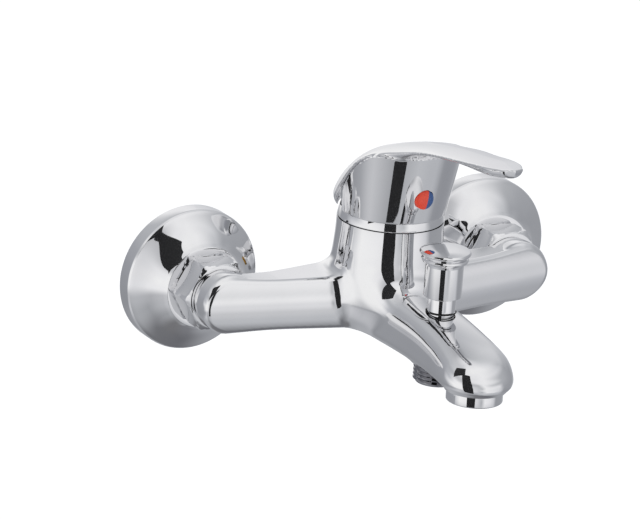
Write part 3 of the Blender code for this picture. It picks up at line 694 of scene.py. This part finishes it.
acetal = grained("moulded_white_acetal", "#e8e8e2", "#dcdcd6", 0.38, 4.0, depth=0.01)
grey_acetal = grained("moulded_grey_acetal", "#6a6d72", "#5c5f64", 0.42, 4.0, depth=0.01)
alumina = grained("lapped_alumina", "#efece4", "#e4e0d6", 0.16, 0.8)
steel = grained("drawn_steel", "#b4b5b8", "#9b9da1", 0.24, 1.0, metallic=1.0, depth=0.01)
put_on(acetal, "cartridge_housing", "disc_carrier")
put_on(grey_acetal, "cartridge_base", "cartridge_rotor")
put_on(alumina, "fixed_ceramic_disc", "moving_ceramic_disc")
put_on(rubber, "hot_inlet_seal", "cold_inlet_seal", "outlet_seal")
put_on(brass, "cartridge_spindle", "cartridge_retaining_nut")
put_on(steel, "spindle_pivot_pin")

PIVOT_Z = 33.0
COLUMN = (0, COLUMN_Y, 0)
zone = [(math.sqrt(24.6 ** 2 - (z - PIVOT_Z) ** 2) - 0.25, z, 0) for z in np.linspace(41.3, 36.6, 12)]
ring = [(20.6, 41.6, 0.2), (22.6, 41.6, 0.2)] + zone + [(23.9, 36.3, 0), (20.6, 36.3, 0)]
cover = new_piece("cartridge_cover_ring", lathe("ring", ring, COLUMN, sides=160), "faucet", "cover_ring")
finish(cover, chrome)


# ---- The handle ---------------------------------------------------------------------------------------
# One hollow zinc die casting: a rounded cap that runs out into a thin lever, over a skirt that flares
# upwards at the front. A sharp line, left by the polishing belt, parts the cap from the skirt.

INDEX_Z = 53.0
LID_EDGE = curve_through([(24, 40.4), (36, 40.2), (42, 41), (47, 47), (54, 56.5), (60, 64.2), (66, 70),
                          (70, 72.9),
                          (76.4, 75.6), (84, 77.8), (90, 79.6), (107.5, 83.8), (124, 86.4), (140.6, 89),
                          (147, 89.6), (154, 90.2)])
LID_HALF = curve_through([(51.3, 27.3), (56, 27.5), (60, 27.1), (66, 25.6), (70.3, 23.3), (76.4, 18.9),
                          (83, 16.5),
                          (90, 15.1), (107.5, 13.5), (124, 11.8), (140.6, 9.9), (146.5, 8.3), (150.5, 6.3),
                          (152.6, 4.0), (153.4, 1.5), (155, -1)])
LID_CROWN = curve_through([(24, 45), (28, 53), (34, 61.2), (41, 66.3), (48, 69.4), (55, 72.1), (63, 74.9),
                           (72, 77.2),
                           (84, 80.2), (100, 83.5), (120, 86.5), (140, 89.2), (154, 90.4)])
LID_UNDER = curve_through([(24, 30), (42, 39.6), (47, 45.2), (54, 54.6), (60, 61.6), (66, 67.4), (70, 69.8),
                           (74, 70.6),
                           (78, 71.6), (83, 74.2), (88, 76.5), (95, 78.7), (107, 81.1), (124, 83.6),
                           (134, 84.2),
                           (142, 84.6), (149, 85.6), (154, 86.6)])


def lid_field(x, out, z):
    """The cap: full and round over the column, then flat with crisp edges along the lever."""
    ax = np.abs(x)
    back = np.sqrt(np.maximum(27.3 ** 2 - np.minimum(out + COLUMN_Y, 0) ** 2, 4))
    half = np.where(out < -COLUMN_Y, back, LID_HALF(out))
    edge = LID_EDGE(out)
    rise = LID_CROWN(out) - edge
    power = 1.85
    u = ax / np.maximum(half, 2)
    w = np.maximum(z - edge, 0) / rise
    full = ((u ** power + w ** power + 1e-9) ** (1 / power) - 1) * np.minimum(np.maximum(half, 2), rise)
    top = (z - edge - rise * np.clip(1 - u ** 2, 0, 1)) * 0.93
    share = np.clip((out - 60) / 18, 0, 1)
    share = share * share * (3 - 2 * share)
    side = (ax - half + (1.1 - 0.8 * share) * np.maximum(edge - z, 0)) * (0.7 + 0.25 * share)
    flat = common(top, side, 1.7)
    lid = common(full * (1 - share) + flat * share, side, 0.6)
    return common(lid, (LID_UNDER(out) + 0.006 * ax ** 2 - z) * 0.93, 1.6 + 1.8 * share)


def skirt_field(x, out, z):
    """The skirt: an oval that flares upwards, cut off under the crease."""
    rise = z - 40.4
    oval = np.sqrt((x / (24.5 + 0.155 * rise)) ** 2 + (np.maximum(out + COLUMN_Y,
                                                                  0) / (24.7 + 0.245 * rise)) ** 2)
    skirt = np.maximum((oval - 1) * 25, -COLUMN_Y - 2 - out)
    return np.maximum(skirt, np.maximum((z - LID_EDGE(out) + 0.4) * 0.66, z - 73.5))


def handle_field(x, y, z):
    out = -y
    radius = np.hypot(x, y - COLUMN_Y)
    low = np.clip(50 - z, 0, 12)
    lid = np.maximum(lid_field(x, out, z), 23.9 - out)
    hood = common(lid, np.where(out < -COLUMN_Y, radius - 27.3 + 0.031 * low ** 2, -9), 0.8)
    whole = melt(hood, skirt_field(x, out, z), 1.3)
    return common(whole, 40.4 - z, 0.4)


def box(name, low, high):
    """A plain block between two corners in millimetres."""
    shape = bmesh.new()
    bmesh.ops.create_cube(shape, size=1)
    size = Vector(high) - Vector(low)
    middle = (Vector(high) + Vector(low)) / 2
    bmesh.ops.transform(shape, matrix=Matrix.Scale(MM,
                                                   4) @ Matrix.Translation(middle) @ Matrix.Diagonal((*size,
                                                                                                      1)),
                        verts=shape.verts)
    mesh = bpy.data.meshes.new(name)
    shape.to_mesh(mesh)
    shape.free()
    return mesh


HANDLE_SHARP = 38      # degrees; edges sharper than this stay crisp


def lever_handle():
    step = 0.5
    mesh = cast("handle", handle_field, (-31, -155, 39), (31, -22, 92), step)
    piece = new_piece("lever_handle", mesh, "lever", "handle")
    hollow = [(9, 61.2, 0), (13, 60.5, 0), (19, 57.5, 0), (22.6, 52, 0), (24.1, 46, 0), (24.15, 42, 0),
              (23.85, 39, 0),
              (0, 39, 0), (0, 48.5, 0), (9, 48.5, 0)]
    socket = box("socket", (-4.3, COLUMN_Y - 4.3, 40), (4.3, COLUMN_Y + 4.3, 62.5))
    seat = [(0, 90, 0), (4.75, 90, 0), (4.75, 77.4, 0), (2.8, 77.4, 0), (2.8, 53.3, 0), (0, 53.3, 0)]
    carve(piece, lathe("t", hollow, COLUMN), socket, lathe("t", seat, (0, 0, INDEX_Z), True, closed=False,
                                                           sides=64))
    finish(piece, chrome, HANDLE_SHARP)


lever_handle()
put_on(steel, "handle_set_screw")


# ---- The temperature index ----------------------------------------------------------------------------
# A moulded button in two plastics, red for hot and blue for cold, pushed into the seat over the grub screw.

def two_colours():
    """Red on one side of a leaning line and blue on the other, with the gloss of a moulding."""
    made = bpy.data.materials.new("two_shot_plastic")
    made.use_nodes = True
    tree = made.node_tree
    surface = tree.nodes["Principled BSDF"]
    surface.inputs["Roughness"].default_value = 0.25
    place = add_node(tree, "ShaderNodeTexCoord").outputs["Object"]
    across = add_node(tree, "ShaderNodeSeparateXYZ", Vector=place)
    lean = add_node(tree, "ShaderNodeMath", {"operation": "MULTIPLY_ADD"}, _0=across.outputs["Z"], _1=-0.15,
                    _2=across.outputs["X"])
    side = add_node(tree, "ShaderNodeMapRange", Value=lean.outputs[0], From_Min=-0.00700, From_Max=-0.00680)
    patches = add_node(tree, "ShaderNodeTexNoise", Vector=place, Scale=400.0)
    red = add_node(tree, "ShaderNodeMix", {"data_type": "RGBA"}, _0=patches.outputs[0], _6=linear("#e2402a"),
                   _7=linear("#ee5236"))
    blue = add_node(tree, "ShaderNodeMix", {"data_type": "RGBA"}, _0=patches.outputs[0],
                    _6=linear("#2f4f86"),
                    _7=linear("#3d5f96"))
    colour = add_node(tree, "ShaderNodeMix", {"data_type": "RGBA"}, _0=side.outputs[0], _6=red.outputs[2],
                      _7=blue.outputs[2])
    tree.links.new(colour.outputs[2], surface.inputs["Base Color"])
    return made


button = [(0, 80.7, 0), (2.0, 80.6, 0), (3.6, 80.3, 0), (4.5, 79.7, 0.4), (4.6, 77.7, 0), (2.4, 77.7, 0),
          (2.4, 73, 0),
          (0, 73, 0)]
index = new_piece("red_and_blue_button", lathe("button", button, (0, 0, INDEX_Z), True, 64, False), "lever",
                  "temperature_index", finish_slot="index_plastic")
finish(index, two_colours())


# ---- The diverter -------------------------------------------------------------------------------------
# A turned brass knob, chromed, on a rod that runs through a screwed bonnet down to a rubber valve disc.

DIVERTER = (0, DIVERTER_Y, 0)
knob = [(0, 37.4, 0), (4.5, 37.3, 0), (8, 37.0, 0), (11.1, 36.3, 0.6), (11.73, 35.4, 0.4), (11.3, 34.7, 0.3),
        (9.7, 34.3, 0.2), (9.5, 33.5, 0.2), (10.3, 33.1, 0.2), (10.8, 32.4, 0.3), (10.3, 31.4, 0.4),
        (9.0, 30.8, 0.4),
        (8.6, 29.6, 0.5), (8.6, 14.9, 0.5), (2.3, 14.9, 0), (2.3, 26, 0), (0, 26, 0)]
piece = new_piece("diverter_pull_knob", lathe("knob", knob, DIVERTER, sides=128, closed=False), "diverter",
                  "diverter_knob")
finish(piece, chrome, 32)
bonnet = [(6.5, 14.4, 0.3), (6.5, 8.4, 0), (6.0, 8.4, 0), (6.0, 3.6, 0), (2.7, 3.6, 0), (2.7, 14.4, 0)]
piece = new_piece("diverter_bonnet_sleeve", lathe("bonnet", bonnet, DIVERTER, sides=96), "faucet",
                  "diverter_bonnet")
finish(piece, chrome)
ring = [(6.7 + 0.3 * math.cos(t), 7.8 + 0.3 * math.sin(t), 0) for t in np.linspace(2 * math.pi, 0, 13)[:-1]]
piece = new_piece("bonnet_rubber_ring", lathe("o_ring", ring, DIVERTER, sides=64), "faucet", "bonnet_o_ring",
                  finish_slot="rubber")
finish(piece, rubber, 80)
put_on(brass, "diverter_rod")
put_on(rubber, "diverter_valve_disc")
put_on(steel, "diverter_spring")


# ---- The outlets --------------------------------------------------------------------------------------
# A threaded nipple for the shower hose screws in under the spout, and an aerator of a chromed shell round a
# plastic honeycomb screws into the nose.

nipple = [(7.0, -25.3, 0.3), (9.3, -25.3, 0.5), (9.4, -17.2, 0), (9.9, -16.5, 0), (9.9, -16.3, 0),
          (8.2, -16.3, 0),
          (8.2, -11.6, 0), (5, -11.6, 0), (5, -22, 0)]
# The nipple hangs under the spout, so its chrome is painted darker than the polished pieces: painted shade.
chrome_with_painted_shade = chrome_plate("chrome_darkened_as_painted_shade", "#98989c", "#adadb1")
core = lathe("nipple", nipple, DIVERTER, sides=96)
ridge = threaded(10.48, 1.814, -24.6, -17.0, DIVERTER, chrome_with_painted_shade)
piece = new_piece("shower_hose_nipple", merged("nipple", core, ridge), "faucet", "shower_outlet_nipple")
finish(piece, chrome_with_painted_shade, 35)

NOSE = (0, AERATOR_Y, 0)
shell = [(12.76, -17.6, 0.3), (12.76, -22.3, 0.4), (12.3, -22.75, 0.2), (10.4, -22.75, 0.3),
         (9.6, -21.8, 0.2),
         (9.6, -11.8, 0), (10.5, -11.8, 0), (10.5, -17.6, 0)]
piece = new_piece("aerator_shell", lathe("shell", shell, NOSE, sides=160), "faucet", "aerator_housing")
carve(piece, box("flat", (12.25, AERATOR_Y - 8, -30), (15, AERATOR_Y + 8, -18.6)),
      box("flat", (-15, AERATOR_Y - 8, -30), (-12.25, AERATOR_Y + 8, -18.6)))
finish(piece, chrome, 25)
put_on(rubber, "aerator_washer")


def honeycomb_tree():
    """Six-sided cells on a staggered grid, kept where they fit inside the shell."""
    tree = bpy.data.node_groups.new("honeycomb", "GeometryNodeTree")
    tree.interface.new_socket("Geometry", in_out="OUTPUT", socket_type="NodeSocketGeometry")
    for name, kind in (("Cell", "Float"), ("Wall", "Float"), ("Height", "Float"), ("Reach", "Float"),
                       ("Centre", "Vector"), ("Finish", "Material")):
        tree.interface.new_socket(name, in_out="INPUT", socket_type="NodeSocket" + kind)
    given = tree.nodes.new("NodeGroupInput").outputs
    rows = 15
    grid = add_node(tree, "GeometryNodeMeshGrid", Vertices_X=rows, Vertices_Y=rows, Size_X=float(rows - 1),
                    Size_Y=float(rows - 1))
    place = add_node(tree, "ShaderNodeSeparateXYZ", Vector=add_node(tree,
                                                                    "GeometryNodeInputPosition").outputs[0])
    odd = add_node(tree, "ShaderNodeMath", {"operation": "FLOORED_MODULO"}, _0=place.outputs["Y"], _1=2.0)
    across = add_node(tree, "ShaderNodeMath", {"operation": "MULTIPLY_ADD"}, _0=odd.outputs[0], _1=0.5,
                      _2=place.outputs["X"])
    along = add_node(tree, "ShaderNodeMath", {"operation": "MULTIPLY"}, _0=place.outputs["Y"],
                     _1=math.sqrt(3) / 2)
    spot = add_node(tree, "ShaderNodeCombineXYZ", X=across.outputs[0], Y=along.outputs[0])
    sized = add_node(tree, "ShaderNodeVectorMath", {"operation": "SCALE"}, _0=spot.outputs[0],
                     Scale=given["Cell"])
    laid = add_node(tree, "GeometryNodeSetPosition", Geometry=grid.outputs[0], Position=sized.outputs[0])
    there = add_node(tree, "GeometryNodeInputPosition").outputs[0]
    distance = add_node(tree, "ShaderNodeVectorMath", {"operation": "LENGTH"}, _0=there)
    beyond = add_node(tree, "FunctionNodeCompare", {"operation": "GREATER_THAN"},
                      A=distance.outputs["Value"],
                      B=given["Reach"])
    kept = add_node(tree, "GeometryNodeDeleteGeometry", Geometry=laid.outputs[0],
                    Selection=beyond.outputs[0])
    size = add_node(tree, "ShaderNodeMath", {"operation": "MULTIPLY"}, _0=given["Cell"], _1=1 / math.sqrt(3))
    hexagon = add_node(tree, "GeometryNodeCurvePrimitiveCircle", Resolution=6, Radius=size.outputs[0])
    wall = add_node(tree, "GeometryNodeCurvePrimitiveQuadrilateral", Width=given["Wall"],
                    Height=given["Height"])
    cell = add_node(tree, "GeometryNodeCurveToMesh", Curve=hexagon.outputs[0], Profile_Curve=wall.outputs[0])
    turned = add_node(tree, "GeometryNodeTransform", Geometry=cell.outputs[0], Rotation=(0, 0, math.pi / 6))
    spread = add_node(tree, "GeometryNodeInstanceOnPoints", Points=kept.outputs[0],
                      Instance=turned.outputs[0])
    moved = add_node(tree, "GeometryNodeTransform", Geometry=spread.outputs[0], Translation=given["Centre"])
    real = add_node(tree, "GeometryNodeRealizeInstances", Geometry=moved.outputs[0])
    coloured = add_node(tree, "GeometryNodeSetMaterial", Geometry=real.outputs[0], Material=given["Finish"])
    add_node(tree, "NodeGroupOutput", Geometry=coloured.outputs[0])
    return tree


cells = grown("honeycomb", honeycomb_tree(), Cell=1.5 * MM, Wall=0.3 * MM, Height=1.6 * MM, Reach=7.9 * MM,
              Centre=Vector((0, AERATOR_Y, -20)) * MM, Finish=grey_acetal)
rim = lathe("rim", [(9.3, -20.8, 0.2), (7.9, -20.8, 0.2), (7.9, -14, 0), (0, -14, 0), (0, -12.6, 0),
                    (9.3, -12.6, 0)],
            NOSE, sides=96, closed=False)
piece = new_piece("aerator_honeycomb", merged("insert", rim, cells), "faucet", "aerator_insert",
                  finish_slot="grey_plastic")
finish(piece, grey_acetal, 30)
